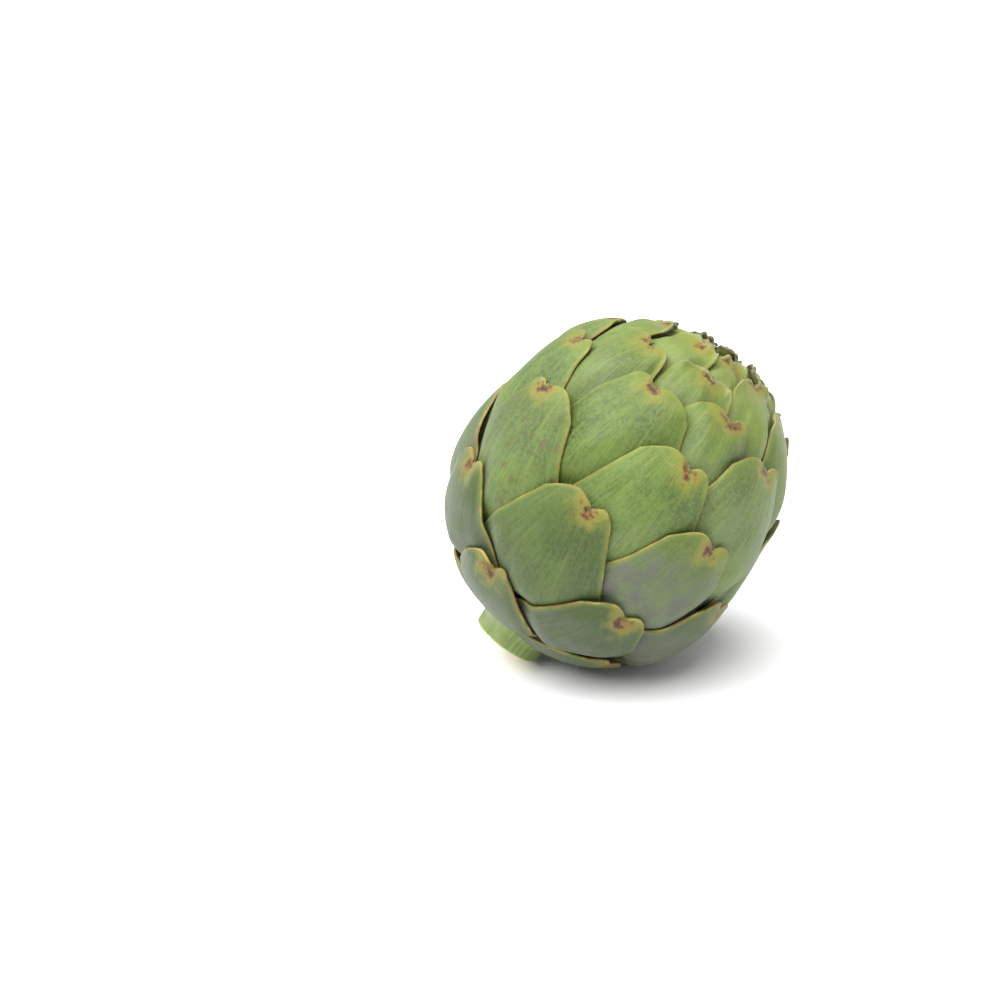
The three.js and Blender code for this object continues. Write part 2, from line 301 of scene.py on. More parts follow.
class Bract:
    """One bract's place, size and outline. Bracts are smaller at the base and narrower in the crown."""

    def __init__(self, n):
        self.n = n
        self.rng = np.random.default_rng(BRACT_SEED + n)
        self.crown = float(smoothstep(n, *MIDDLE_TO_CROWN))
        self.low = 1 - float(smoothstep(n, *BASE_TO_MIDDLE))
        self.dried = float(smoothstep(n, *FRESH_TO_DRIED))

        # Every bract draws every number, in this order, whether or not its own ways replace it.
        own = OWN_WAYS.get(n, {})
        dried_lift = self.rng.uniform(*DRIED_LIFTS) * self.dried
        self.lift = own.get("lift", TIP_LIFT - LOW_LIFT_LESS * self.low + dried_lift)
        self.lifted_length = lerp(LIFTED_LENGTH, self.rng.uniform(*DRIED_LIFTED_LENGTHS), self.dried)
        self.roll = self.rng.uniform(*DRIED_ROLLS) * self.dried
        self.freckles = own.get("freckles", self.rng.uniform(*FRECKLES))
        self.bloom_and_sheen = own.get("bloom_and_sheen", self.rng.uniform(*BLOOMS_AND_SHEEN))

        self.notch_aside = own.get("notch_aside", NOTCH_ASIDE * (1 - self.crown))
        tip = math.radians(90 - tip_colatitude(n))
        notch_azimuth = math.radians(SPIN + own.get("turn", 0) + GOLDEN_ANGLE * n)
        self.azimuth = notch_azimuth - self.notch_aside / float(turning_radius(tip))
        self.tip_length = float(length_at(tip)) + own.get("lower", 0)

        self.notch_depth = lerp(*NOTCH_DEPTHS, self.crown)
        self.top_width = lerp(*TOP_WIDTHS, self.crown) - LOW_TOP_NARROWER * self.low
        self.widest = lerp(*WIDEST_WIDTHS, self.crown) - LOW_NARROWER * self.low
        self.widest_below = lerp(*WIDEST_BELOW, self.crown) - LOW_WIDEST_HIGHER * self.low
        self.base_width = lerp(*BASE_WIDTHS, self.crown)
        closing = float(smoothstep(n, HIGHEST, CLOSING))
        self.layer = lerp(lerp(*LAYERS, self.crown), CLOSING_LAYER, closing)
        self.tip_softness = lerp(*TIP_SOFTNESSES, float(smoothstep(n, *SOFT_TO_CRISP_TIP)))

    def half_width(self, below):
        narrowing_up = np.clip(1 - below / self.widest_below, 0, 1) ** NARROWING_UP_POWER
        from_widest = (below - self.widest_below) / NARROWING_DOWN
        narrowing_down = np.clip(from_widest, 0, 1) ** NARROWING_DOWN_POWER
        narrower = (self.widest - self.top_width) * narrowing_up
        return self.widest - narrower - (self.widest - self.base_width) * narrowing_down

    def top_edge(self, across):
        """The top edge's length below the tip: a sloping long lobe and a square short one by the notch."""
        from_notch = np.abs(across - self.notch_aside / self.top_width) / NOTCH_SPREAD
        notch = self.notch_depth * np.exp(-(from_notch**NOTCH_POWER))
        is_short = across * (1 if self.notch_aside >= 0 else -1) > 0
        (long_drop, long_power), (short_drop, short_power) = LONG_LOBE, SHORT_LOBE
        long_lobe = long_drop * np.abs(across) ** long_power
        short_lobe = short_drop * np.abs(across) ** short_power
        rounding = DRIED_ROUNDING * self.dried * across**2
        return notch + rounding + np.where(is_short, short_lobe, long_lobe)

    def claim(self, azimuth, latitude):
        """How much of its layer the bract claims at a place, from 0 outside its outline to 1 well inside."""
        turn = (azimuth - self.azimuth + math.pi) % (2 * math.pi) - math.pi
        aside = turn * on_meridian(latitude, 0)[0]
        below = length_at(latitude) - self.tip_length
        inside_side = self.half_width(below) - np.abs(aside)
        inside_top = below - self.top_edge(np.clip(aside / self.top_width, -1, 1))
        softness = lerp(self.tip_softness, 1, smoothstep(below, *SOFT_TIP_REACH))

        beside = smoothstep(inside_side / softness, -SOFT_ASIDE, SOFT_INSIDE)
        ahead = smoothstep(inside_top / softness, -SOFT_AHEAD, SOFT_INSIDE)
        return beside * ahead

    def room(self, azimuth, latitude):
        """How thick the bract may be at a place."""
        return np.maximum(self.layer * self.claim(azimuth, latitude) - GAP, RIM_THICKNESS)


BRACTS = [Bract(n) for n in range(LOWEST, CLOSING + 1)]


def cover_over(bract, azimuth, latitude):
    """The depth of the layers over a bract, and how bare it is of them, from 0 to 1."""
    depth = np.zeros_like(azimuth)
    bare = np.ones_like(azimuth)
    for outer in BRACTS[: bract.n - LOWEST]:
        share = outer.claim(azimuth, latitude)
        depth += outer.layer * share
        bare *= 1 - share
    return depth, bare


def heart_radius_at(height):
    radii, heights = zip(*HEART_PROFILE)
    return np.interp(height, heights, radii, left=STEM_RADIUS, right=0)


def base_length_of(bract):
    """The length from the crown at which the bract meets the heart, or the lowest that a base may reach."""
    shortest = bract.tip_length + LEAST_BRACT_LENGTH
    lengths = np.arange(shortest, LENGTHS[-1] - BASE_FROM_POLE, BASE_STEP)
    latitude = latitude_at(lengths)
    depth, _ = cover_over(bract, np.full_like(lengths, bract.azimuth), latitude)
    radius, height = on_meridian(latitude, depth + bract.layer)
    met = radius < heart_radius_at(height)
    return float(lengths[np.argmax(met)] if met.any() else lengths[-1])


def grid_faces(rows, columns):
    """A closed shell between an outer grid and an inner one, in rows from the tip down."""
    out = np.arange(rows * columns).reshape(rows, columns)
    into = out + rows * columns

    def quads(a, b, c, d):
        return np.stack([a.ravel(), b.ravel(), c.ravel(), d.ravel()], axis=1)

    parts = [
        quads(out[:-1, :-1], out[1:, :-1], out[1:, 1:], out[:-1, 1:]),
        quads(into[:-1, :-1], into[:-1, 1:], into[1:, 1:], into[1:, :-1]),
        quads(out[:-1, 0], into[:-1, 0], into[1:, 0], out[1:, 0]),
        quads(out[:-1, -1], out[1:, -1], into[1:, -1], into[:-1, -1]),
        quads(out[0, :-1], out[0, 1:], into[0, 1:], into[0, :-1]),
        quads(out[-1, :-1], into[-1, :-1], into[-1, 1:], out[-1, 1:]),
    ]
    return np.concatenate(parts)


class Shape:
    """Points and faces in the head's frame, with a number for each point under each attribute's name."""

    def __init__(self, points, faces, **attributes):
        self.points = points.reshape(-1, 3)
        self.faces = faces
        self.attributes = attributes

    @staticmethod
    def joined(shapes):
        starts = np.cumsum([0] + [len(s.points) for s in shapes[:-1]])
        faces = []
        for shape, start in zip(shapes, starts):
            faces.extend((np.asarray(shape.faces) + start).tolist())
        attributes = {}
        for name in shapes[0].attributes:
            attributes[name] = np.concatenate([s.attributes[name] for s in shapes])
        return Shape(np.concatenate([s.points for s in shapes]), faces, **attributes)


# The blade's mesh lies closer together towards its sides (0 is even) and its tip (1 is even).
FINER_AT_SIDES = 0.75
FINER_AT_TIP = 1.6

# The rim rounds off over the first width, and the blade thickens over the second.
RIM_ROUNDING = 0.8
THICKENING = 5

# The relief of a blade. A reach is the two lengths below the tip between which something comes in.
ROLL_REACH = 14, 2
CRUMPLE_HEIGHT = 0.35
CRUMPLE_REACH = 7, 1
CRUMPLES = 7
BEAD_HEIGHT = 0.9
BEAD_FROM_EDGE = 0.6
BEAD_WIDTH = 0.5
BEADS = 9  # its unevenness across a half width, in radians, ...
BEAD_TURN = 1.7  # ... and from bract to bract
DRY_REACH = 9, 3
DRY_WIDTHS = 1.6, 0.3  # from the edge
WAVES = 4
WAVE_HEIGHT = 0.09  # the waves turn by chance, from the least to the most of what follows
WAVES_ALONG = 0.06, 0.22
WAVES_ASIDE = 0.5, 3.2
FIBRES_ACROSS = 10


def undulation(bract, across, below):
    """Low swells along and across the bract, in millimetres."""
    height = np.zeros_like(across)
    for _ in range(WAVES):
        along = bract.rng.uniform(*WAVES_ALONG)
        aside = bract.rng.uniform(*WAVES_ASIDE)
        phase = bract.rng.uniform(0, 2 * math.pi)
        height += np.sin(along * below + aside * across * 2 + phase)
    return WAVE_HEIGHT * height


def raised_by(bract, across, below, bare):
    """How far the blade stands away from the head: its lifted, rolled and crumpled tip, and its swells."""
    curl = np.clip(1 - below / bract.lifted_length, 0, 1) ** 2
    rolled = bract.roll * np.abs(across) ** 3 * smoothstep(below, *ROLL_REACH)
    crumples = np.sin(across * CRUMPLES + bract.n)
    crumpled = CRUMPLE_HEIGHT * bract.dried * crumples * smoothstep(below, *CRUMPLE_REACH)
    tip = (bract.lift * curl + rolled + crumpled) * bare
    return tip + undulation(bract, across, below) * bare**2


def blade_thickness(from_edge, room):
    rounded = np.clip(from_edge / RIM_ROUNDING, 0, 1) ** 0.5
    edge = RIM_THICKNESS + (EDGE_THICKNESS - RIM_THICKNESS) * rounded
    return np.minimum(room, edge + np.maximum(room - edge, 0) * (1 - np.exp(-from_edge / THICKENING)))


def edge_bead(bract, across, below, from_edge):
    """The thick uneven edge of a dried tip."""
    round_bead = np.exp(-(((from_edge - BEAD_FROM_EDGE) / BEAD_WIDTH) ** 2))
    bead = BEAD_HEIGHT * bract.dried * round_bead * smoothstep(below, *DRY_REACH)
    return bead * (0.6 + 0.4 * np.sin(across * BEADS + bract.n * BEAD_TURN))


def bract_blade(bract):
    even = np.linspace(-1, 1, BRACT_COLUMNS + 1)
    across = lerp(even, np.sin(even * math.pi / 2), FINER_AT_SIDES)[None, :]
    share = (np.linspace(0, 1, BRACT_ROWS + 1) ** FINER_AT_TIP)[:, None]
    top_length = bract.tip_length + bract.top_edge(across)
    length = lerp(top_length, base_length_of(bract), share)
    across = np.broadcast_to(across, length.shape)
    below = length - bract.tip_length
    width = bract.half_width(below)
    from_edge = np.minimum((1 - np.abs(across)) * width, length - top_length)

    latitude = latitude_at(length)
    azimuth = bract.azimuth + across * width / turning_radius(latitude)
    depth, bare = cover_over(bract, azimuth, latitude)
    room = bract.room(azimuth, latitude)
    inner = depth + room - raised_by(bract, across, below, bare)
    bead = edge_bead(bract, across, below, from_edge) * bare
    outer = inner - blade_thickness(from_edge, room) - bead
    points = np.stack([on_head(azimuth, latitude, outer), on_head(azimuth, latitude, inner)])

    fields = dict(
        fibre=across * FIBRES_ACROSS,
        along=below,
        margin=from_edge,
        notch=np.hypot(across * width - bract.notch_aside, below - bract.notch_depth),
        dry=smoothstep(from_edge, *DRY_WIDTHS) * smoothstep(below, *DRY_REACH) * bract.dried,
    )
    attributes = {name: np.tile(field.ravel(), 2) for name, field in fields.items()}
    return Shape(points, grid_faces(BRACT_ROWS + 1, BRACT_COLUMNS + 1), **attributes)


SPINE_RADIUS = 0.38
SPINE_TAPER = 0.8
SPINE_RISE = 0.5  # how far its tip turns up
SPINE_BELOW_NOTCH = 0.5
SPINE_ABOVE_INSIDE = 0.4
SPINE_LIFT = 0.7  # the share of the tip's lift that the notch has
SPINE_SUNK = 0.2
SPINE_AIM = 3, 0.9  # how far ahead and how much higher is the point that it grows towards
SPINE_FIELDS = dict(fibre=0, along=1, margin=3, notch=2, dry=1)


def bract_spine(bract):
    """The small dried spine in the notch."""
    length = lerp(*SPINE_LENGTHS, bract.crown) * bract.rng.uniform(*SPINE_SHARES)
    root = bract.tip_length + bract.notch_depth + SPINE_BELOW_NOTCH
    latitude = latitude_at(root)
    azimuth = bract.azimuth + bract.notch_aside / turning_radius(latitude)
    places = np.array([azimuth]), np.array([latitude])
    depth, bare = cover_over(bract, *places)
    inner = float(depth[0]) + float(bract.room(*places)[0]) - bract.lift * SPINE_LIFT * float(bare[0])
    start = on_head(*places, inner - SPINE_ABOVE_INSIDE)[0]
    forward, higher = SPINE_AIM
    aim = on_head(azimuth, latitude_at(root - forward), inner - SPINE_ABOVE_INSIDE - higher)
    ahead = aim - start
    ahead /= np.linalg.norm(ahead)
    side = np.array([-math.sin(azimuth), math.cos(azimuth), 0])
    up = np.cross(ahead, side)
    turn = round_turn(SPINE_SIDES)
    ring = np.cos(turn)[:, None] * side + np.sin(turn)[:, None] * up

    points = [start - ahead * SPINE_SUNK]
    for i in range(SPINE_RINGS):
        share = i / SPINE_RINGS
        radius = SPINE_RADIUS * (1 - share) ** SPINE_TAPER
        points.extend(start + ahead * length * share + up * SPINE_RISE * share**2 + ring * radius)
    points.append(start + ahead * length + up * SPINE_RISE)

    first_ring = 1
    last_ring = first_ring + (SPINE_RINGS - 1) * SPINE_SIDES
    tip = len(points) - 1
    faces = []
    for k in range(SPINE_SIDES):
        after = (k + 1) % SPINE_SIDES
        faces.append([0, first_ring + after, first_ring + k, first_ring + k])
        for start_of_ring in range(first_ring, last_ring, SPINE_SIDES):
            next_ring = start_of_ring + SPINE_SIDES
            faces.append([start_of_ring + k, start_of_ring + after, next_ring + after, next_ring + k])
        faces.append([last_ring + k, last_ring + after, tip, tip])
    attributes = {name: np.full(len(points), float(value)) for name, value in SPINE_FIELDS.items()}
    return Shape(np.array(points), np.array(faces), **attributes)


def bract_shape(bract):
    shape = Shape.joined([bract_blade(bract), bract_spine(bract)])
    constants = dict(
        seed=bract.rng.uniform(*PATTERN_SEEDS),
        crown=bract.crown,
        # low: how much painted shade and grey-purple mottling the bract has, most on the lowest bracts.
        low=1 - float(smoothstep(bract.n, *SHADED_AND_MOTTLED_TO_PLAIN)),
        freckles=bract.freckles,
        bloom_and_sheen=bract.bloom_and_sheen,
    )
    for name, value in constants.items():
        shape.attributes[name] = np.full(len(shape.points), value)
    return shape


# --- Meshes -----------------------------------------------------------------------------------------


def lathe_points(profile, sides):
    turn = round_turn(sides)
    rows = [[(r * math.cos(t), r * math.sin(t), z) for t in turn] for r, z in profile]
    return np.array(rows)


LEANED = Matrix.Rotation(math.radians(HEADING), 3, "Z") @ Matrix.Rotation(math.radians(90 - LEAN), 3, "Y")


def head_centre():
    """The head's middle in the frame, from where the frame's heart is."""
    low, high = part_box("heart_and_stem")
    points = lathe_points(HEART_PROFILE, HEART_SIDES // 2).reshape(-1, 3) @ np.array(LEANED).T
    middle = Vector((points.min(axis=0) + points.max(axis=0)) / 2)
    return (low + high) / 2 - middle * MM


HEAD_CENTRE = head_centre()


def to_frame(points):
    """From the head's frame in millimetres to the frame in metres, with nothing below the surface."""
    placed = points @ np.array(LEANED).T * MM + np.array(HEAD_CENTRE)
    placed[:, 2] = np.maximum(placed[:, 2], 0.0)
    return placed


def add_piece(name, shape, material, slot, *replaced):
    mesh = bpy.data.meshes.new(name)
    faces = [f[:3] if f[2] == f[3] else f for f in np.asarray(shape.faces).tolist()]
    mesh.from_pydata(to_frame(shape.points).tolist(), [], faces)
    for key, values in shape.attributes.items():
        attribute = mesh.attributes.new(key, "FLOAT", "POINT")
        attribute.data.foreach_set("value", np.asarray(values, np.float32))
    mesh.shade_smooth()
    mesh.materials.append(material)
    piece = bpy.data.objects.new(name, mesh)
    bpy.context.scene.collection.objects.link(piece)
    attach(piece, "root")
    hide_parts(*replaced)


# --- Materials --------------------------------------------------------------------------------------


def colour(code):
    """A linear colour from an sRGB code such as "7f9c55"."""
    channels = [int(code[i : i + 2], 16) / 255 for i in (0, 2, 4)]
    linear = [c / 12.92 if c <= 0.04045 else ((c + 0.055) / 1.055) ** 2.4 for c in channels]
    return (*linear, 1.0)


# A bract's colours: its greens, ...
DEEP_GREEN = colour("324811")
LEAF_GREEN = colour("4d641d")
BROAD_STREAK = colour("68792c")
FINE_STREAK = colour("76843c")
DARK_STREAK = colour("283a0a")
HAIRLINE = colour("7b884c")
GRAIN = colour("697a34")
CROWN_YELLOW = colour("858f3e")
TIP_YELLOW = colour("707e2c")
# ... what lies over them, ...
# grey, partly waxy bloom and partly painted sheen
BLOOM_AND_SHEEN_GREY = colour("6e7a59")
# painted shade for the lower bracts
LOW_SHADE_GREEN = colour("263712")
MOTTLE_PURPLE = colour("53564c")
FRECKLE = colour("52432e")
SHEEN = colour("e6ebe2")
# ... and its notch, margin and dried tip. A rim is the margin's very edge.
NOTCH_YELLOW = colour("83792e")
NOTCH_ORANGE = colour("7b481b")
NOTCH_BROWN = colour("31150c")
MARGIN = colour("79802e")
PALE_RIM = colour("948741")
BROWN_RIM = colour("7e5b30")
DRIED_DARK = colour("2d2820")
DRIED_LIGHT = colour("63593f")
DUSTY_GREEN = colour("7e875a")

# The stem's skin and the cut flesh.
SKIN_DARK = colour("60763a")
SKIN_LIGHT = colour("7f8e50")
SKIN_DUST = colour("87946e")
SKIN_SPOT = colour("6d6a45")
FLESH_PALE = colour("e0d9b4")
FLESH_DARK = colour("c9c392")
FLESH_GREEN = colour("aeb878")
FLESH_BROWN = colour("a88a58")

# The purple bracts and the choke.
PURPLE_DARK = colour("7c3560")
PURPLE_LIGHT = colour("a4577f")
YELLOW_DARK = colour("e6cf7c")
YELLOW_LIGHT = colour("f0e4b4")
HAIR_PALE = colour("efe8d0")
HAIR_DARK = colour("dccfa6")
HAIR_TIP = colour("b08a9c")


class Surface:
    """A node material with one Principled shader, and short ways to add nodes to it."""

    def __init__(self, name):
        self.material = bpy.data.materials.new(name)
        self.material.use_nodes = True
        self.tree = self.material.node_tree
        self.shader = self.tree.nodes["Principled BSDF"]

    def node(self, kind, settings=None, **inputs):
        node = self.tree.nodes.new(kind)
        for key, value in (settings or {}).items():
            setattr(node, key, value)
        for key, value in inputs.items():
            self.connect(node.inputs[key.replace("_", " ")], value)
        return node

    def connect(self, socket, value):
        if isinstance(value, bpy.types.NodeSocket):
            self.tree.links.new(value, socket)
        else:
            socket.default_value = value

    def place(self):
        return self.node("ShaderNodeTexCoord").outputs["Object"]

    def field(self, name):
        return self.node("ShaderNodeAttribute", {"attribute_name": name}).outputs["Fac"]

    def maths(self, operation, *values):
        node = self.node("ShaderNodeMath", {"operation": operation})
        for socket, value in zip(node.inputs, values):
            self.connect(socket, value)
        return node.outputs[0]

    def total(self, first, second):
        return self.maths("ADD", first, second)

    def product(self, *values):
        result = values[0]
        for value in values[1:]:
            result = self.maths("MULTIPLY", result, value)
        return result

    def ramp(self, value, low, high, to_low=0.0, to_high=1.0):
        """A smooth step of value from low to high, which may fall as well as rise."""
        node = self.node("ShaderNodeMapRange", {"interpolation_type": "SMOOTHSTEP"})
        sockets = {"Value": value, "From Min": low, "From Max": high, "To Min": to_low, "To Max": to_high}
        for key, item in sockets.items():
            self.connect(node.inputs[key], item)
        return node.outputs[0]

    def vector(self, x, y, z):
        return self.node("ShaderNodeCombineXYZ", X=x, Y=y, Z=z).outputs[0]

    def noise(self, vector, scale, detail=2.0, roughness=0.5):
        node = self.node("ShaderNodeTexNoise", Scale=scale, Detail=detail, Roughness=roughness)
        self.connect(node.inputs["Vector"], vector)
        return node.outputs["Fac"]

    def streaks(self, fibre, along, drawn_out, seed, scale, detail, roughness):
        """Noise that is drawn out along the fibres: the less of the length it takes in, the longer."""
        return self.noise(self.vector(fibre, self.product(along, drawn_out), seed), scale, detail, roughness)

    def mix(self, share, low, high):
        node = self.node("ShaderNodeMix", {"data_type": "RGBA"})
        self.connect(node.inputs["Factor"], share)
        self.connect(node.inputs["A"], low)
        self.connect(node.inputs["B"], high)
        return node.outputs["Result"]

    def bump(self, height, strength, distance, normal=None):
        node = self.node("ShaderNodeBump", Height=height, Strength=strength, Distance=distance)
        if normal is not None:
            self.connect(node.inputs["Normal"], normal)
        return node.outputs[0]

    def finish(self, base, roughness, normal, **constants):
        self.connect(self.shader.inputs["Base Color"], base)
        self.connect(self.shader.inputs["Roughness"], roughness)
        if normal is not None:
            self.connect(self.shader.inputs["Normal"], normal)
        for key, value in constants.items():
            self.shader.inputs[key.replace("_", " ")].default_value = value
        return self.material


def bract_material():
    s = Surface("bract")
    fibre, along, margin, notch = (s.field(k) for k in ("fibre", "along", "margin", "notch"))
    seed, crown, low, dry = (s.field(k) for k in ("seed", "crown", "low", "dry"))
    freckles, most_bloom_and_sheen = s.field("freckles"), s.field("bloom_and_sheen")
    place = s.place()

    # The fibres run the length of the bract, in three widths.
    broad_streaks = s.streaks(fibre, along, 0.05, seed, 0.9, 3.0, 0.55)
    fine_streaks = s.streaks(fibre, along, 0.012, seed, 6.5, 3.0, 0.55)
    hairlines = s.streaks(fibre, along, 0.005, seed, 20.0, 2.0, 0.5)
    blotches = s.noise(place, 55.0, 4.0, 0.6)
    grain = s.noise(place, 900.0, 2.0, 0.6)

    hue = s.mix(s.ramp(blotches, 0.35, 0.66), DEEP_GREEN, LEAF_GREEN)
    hue = s.mix(s.product(s.ramp(broad_streaks, 0.45, 0.7), 0.4), hue, BROAD_STREAK)
    hue = s.mix(s.product(s.ramp(fine_streaks, 0.52, 0.68), 0.34), hue, FINE_STREAK)
    hue = s.mix(s.product(s.ramp(fine_streaks, 0.49, 0.32), 0.5), hue, DARK_STREAK)
    hue = s.mix(s.product(s.ramp(hairlines, 0.52, 0.66), 0.2), hue, HAIRLINE)
    hue = s.mix(s.product(s.ramp(grain, 0.44, 0.58), 0.3), hue, GRAIN)
    hue = s.mix(s.product(crown, 0.45), hue, CROWN_YELLOW)
    hue = s.mix(s.ramp(along, 14.0, 0.0, 0.0, 0.35), hue, TIP_YELLOW)

    # A grey lies over the lower part of each bract, thin in some places and thick in others. It is partly
    # waxy bloom and partly painted sheen, the grey that the head shows where it turns away from the camera.
    patches = s.ramp(s.noise(place, 36.0, 3.0, 0.6), 0.36, 0.58, 0.25, 1.0)
    dust = s.ramp(s.noise(place, 1500.0, 2.0, 0.7), 0.35, 0.65, 0.45, 1.0)
    bloom_and_sheen = s.product(s.ramp(along, 6.0, 28.0, 0.1, 1.0), patches, dust, most_bloom_and_sheen)
    hue = s.mix(s.product(bloom_and_sheen, 0.9), hue, BLOOM_AND_SHEEN_GREY)

    # Lower bracts are darker, which is painted shade from the light above, with grey-purple mottling below
    # their tips.
    hue = s.mix(s.product(low, 0.75), hue, LOW_SHADE_GREEN)
    mottles = s.product(s.noise(place, 190.0, 4.0, 0.65), 0.6)
    mottled = s.ramp(s.total(mottles, s.product(fine_streaks, 0.4)), 0.42, 0.58, 0.15, 1.0)
    purple = s.product(s.ramp(along, 5.0, 20.0), s.ramp(low, 0.0, 0.3), mottled, most_bloom_and_sheen)
    hue = s.mix(s.product(purple, 0.95), hue, MOTTLE_PURPLE)

    # Freckles.
    speckle = s.ramp(s.noise(place, 420.0, 2.0, 0.7), 0.56, 0.66)
    freckled = s.product(speckle, freckles, s.ramp(along, 4.0, 14.0), 0.6)
    hue = s.mix(freckled, hue, FRECKLE)

    # Yellow, then orange and dark brown, towards the notch.
    near = s.total(notch, s.ramp(s.noise(place, 240.0, 3.0, 0.6), 0.3, 0.7, -2.0, 2.0))
    hue = s.mix(s.product(s.ramp(near, 8.5, 2.0), 0.6), hue, NOTCH_YELLOW)
    hue = s.mix(s.product(s.ramp(near, 3.6, 1.2), 0.75), hue, NOTCH_ORANGE)
    spots = s.ramp(s.noise(place, 520.0, 2.0, 0.6), 0.38, 0.54)
    hue = s.mix(s.product(s.ramp(near, 3.2, 0.8), spots, 0.95), hue, NOTCH_BROWN)

    # A pale dry line along the margin, broken in places.
    hue = s.mix(s.product(s.ramp(margin, 2.2, 0.4), 0.35), hue, MARGIN)
    rim_hue = s.mix(s.ramp(s.noise(place, 130.0, 2.0, 0.5), 0.42, 0.6), PALE_RIM, BROWN_RIM)
    unbroken = s.ramp(s.noise(place, 220.0, 3.0, 0.6), 0.34, 0.6, 0.1, 0.95)
    rim = s.product(s.ramp(margin, 0.55, 0.2), unbroken, s.ramp(along, 30.0, 60.0, 1.0, 0.4))
    hue = s.mix(rim, hue, rim_hue)

    # Dried tips.
    brown = s.mix(s.ramp(s.noise(place, 600.0, 3.0, 0.6), 0.4, 0.6), DRIED_DARK, DRIED_LIGHT)
    torn = s.ramp(s.total(dry, s.noise(place, 380.0, 3.0, 0.65)), 1.3, 1.55)
    dusty = s.mix(s.product(s.ramp(dry, 0.0, 0.6), 0.6), hue, DUSTY_GREEN)
    hue = s.mix(torn, dusty, brown)

    roughness = s.ramp(bloom_and_sheen, 0.0, 0.8, 0.46, 0.66)
    relief = s.bump(fine_streaks, 0.35, 0.0006)
    relief = s.bump(hairlines, 0.2, 0.0003, relief)
    relief = s.bump(grain, 0.25, 0.0002, relief)
    gloss = dict(Specular_IOR_Level=0.36, Sheen_Weight=0.1, Sheen_Roughness=0.45, Sheen_Tint=SHEEN)
    return s.finish(hue, roughness, relief, **gloss)


def heart_material():
    s = Surface("heart")
    turn, height, face, ring = (s.field(k) for k in ("turn", "height", "face", "ring"))
    place = s.place()
    strands = s.streaks(turn, height, 0.012, 0.0, 3.0, 3.0, 0.5)
    skin = s.mix(s.ramp(strands, 0.3, 0.7), SKIN_DARK, SKIN_LIGHT)
    skin = s.mix(s.product(s.ramp(s.noise(place, 120.0, 3.0, 0.6), 0.4, 0.7), 0.6), skin, SKIN_DUST)
    skin = s.mix(s.product(s.ramp(s.noise(place, 420.0, 2.0, 0.6), 0.6, 0.7), 0.35), skin, SKIN_SPOT)
    flesh = s.mix(s.ramp(s.noise(place, 700.0, 3.0, 0.6), 0.4, 0.62), FLESH_PALE, FLESH_DARK)
    flesh = s.mix(s.product(s.ramp(ring, 0.35, 0.8), 0.6), flesh, FLESH_GREEN)
    flesh = s.mix(s.ramp(s.noise(place, 300.0, 2.0, 0.5), 0.58, 0.72, 0.0, 0.6), flesh, FLESH_BROWN)
    relief = s.bump(strands, 0.25, 0.0004)
    relief = s.bump(s.noise(place, 1200.0, 2.0, 0.6), 0.3, 0.0003, relief)
    gloss = dict(Specular_IOR_Level=0.35, Sheen_Weight=0.15, Sheen_Roughness=0.5)
    return s.finish(s.mix(face, skin, flesh), 0.6, relief, **gloss)


def purple_material():
    s = Surface("purple_bracts")
    along, fibre = s.field("along"), s.field("fibre")
    place = s.place()
    streaks = s.streaks(fibre, along, 0.05, 0.0, 3.0, 3.0, 0.55)
    tip = s.mix(s.ramp(streaks, 0.35, 0.65), PURPLE_DARK, PURPLE_LIGHT)
    base = s.mix(s.ramp(streaks, 0.35, 0.65), YELLOW_DARK, YELLOW_LIGHT)
    uneven = s.total(along, s.ramp(s.noise(place, 160.0, 3.0, 0.6), 0.3, 0.7, -5.0, 5.0))
    hue = s.mix(s.ramp(uneven, 8.0, 26.0), tip, base)
    gloss = dict(Specular_IOR_Level=0.45, Sheen_Weight=0.1, Sheen_Roughness=0.5)
    return s.finish(hue, 0.42, s.bump(streaks, 0.4, 0.0004), **gloss)


def choke_material():
    s = Surface("choke_hairs")
    up, hair = s.field("up"), s.field("hair")
    uneven = s.noise(s.vector(hair, up, 0.0), 2.0, 2.0, 0.6)
    hue = s.mix(s.ramp(uneven, 0.35, 0.65), HAIR_PALE, HAIR_DARK)
    hue = s.mix(s.ramp(up, 0.75, 1.0), hue, HAIR_TIP)
    return s.finish(hue, 0.5, None, Specular_IOR_Level=0.4, Sheen_Weight=0.3, Sheen_Roughness=0.4)


# --- Heart ------------------------------------------------------------------------------------------

CUT_RINGS = 0.12, 0.3, 0.5, 0.68, 0.84, 0.95  # shares of the stem's radius
CUT_ROUNDING = [(STEM_RADIUS - 0.15, STEM_END + 0.1)]
SKIN_FROM = STEM_END + 0.6
SKIN_TO = -22.8
TOP_RINGS = [(16, -22.9), (8, -22.6), (1, HEART_TOP)]
STEM_FADES = -40, -48  # the heights between which the heart becomes stem
CUT_FADES = 6, 10  # the radii between which the cut's middle becomes skin
CUT_DISHED = 0.5
RIBS = 9
RIB_HEIGHT = 0.12
FINE_RIBS = 23
FINE_RIB_HEIGHT = 0.03
CUT_WAVES = 7
CUT_WAVE_HEIGHT = 0.08
STRANDS = 4  # of the skin's noise, for each radian


